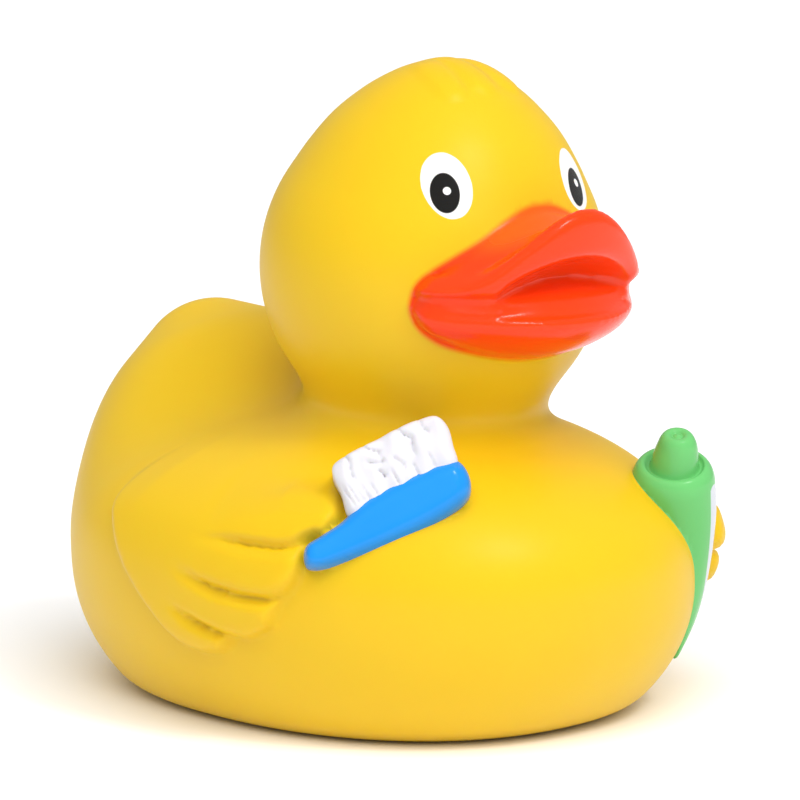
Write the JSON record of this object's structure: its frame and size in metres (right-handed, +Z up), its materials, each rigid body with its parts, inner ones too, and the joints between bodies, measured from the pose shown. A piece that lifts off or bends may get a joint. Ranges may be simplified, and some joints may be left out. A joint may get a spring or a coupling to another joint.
{
  "type": "rubber duck",
  "caption": "Hollow vinyl bath duck with a toothbrush moulded under its right wing, a toothpaste tube under its left, and a squeaker in its flat base.",
  "frame": {"origin": "middle of the body's footprint box, on the level that the duck stands on", "axes": "+X to the duck's left side, +Y to its tail, so it faces -Y, and +Z up"},
  "size_m": [0.073, 0.0882, 0.0796],
  "materials": {
    "yellow_vinyl": "satin soft vinyl with sprayed and brushed gloss paint",
    "plug_plastic": "matte moulded polyethylene",
    "holder_plastic": "smooth moulded plastic",
    "reed_brass": "rolled brass strip"
  },
  "bodies": {
    "root": {"duck_body": "yellow_vinyl", "squeaker_plug": "plug_plastic", "squeaker_reed_holder": "holder_plastic", "squeaker_reed": "reed_brass"}
  },
  "joints": []
}
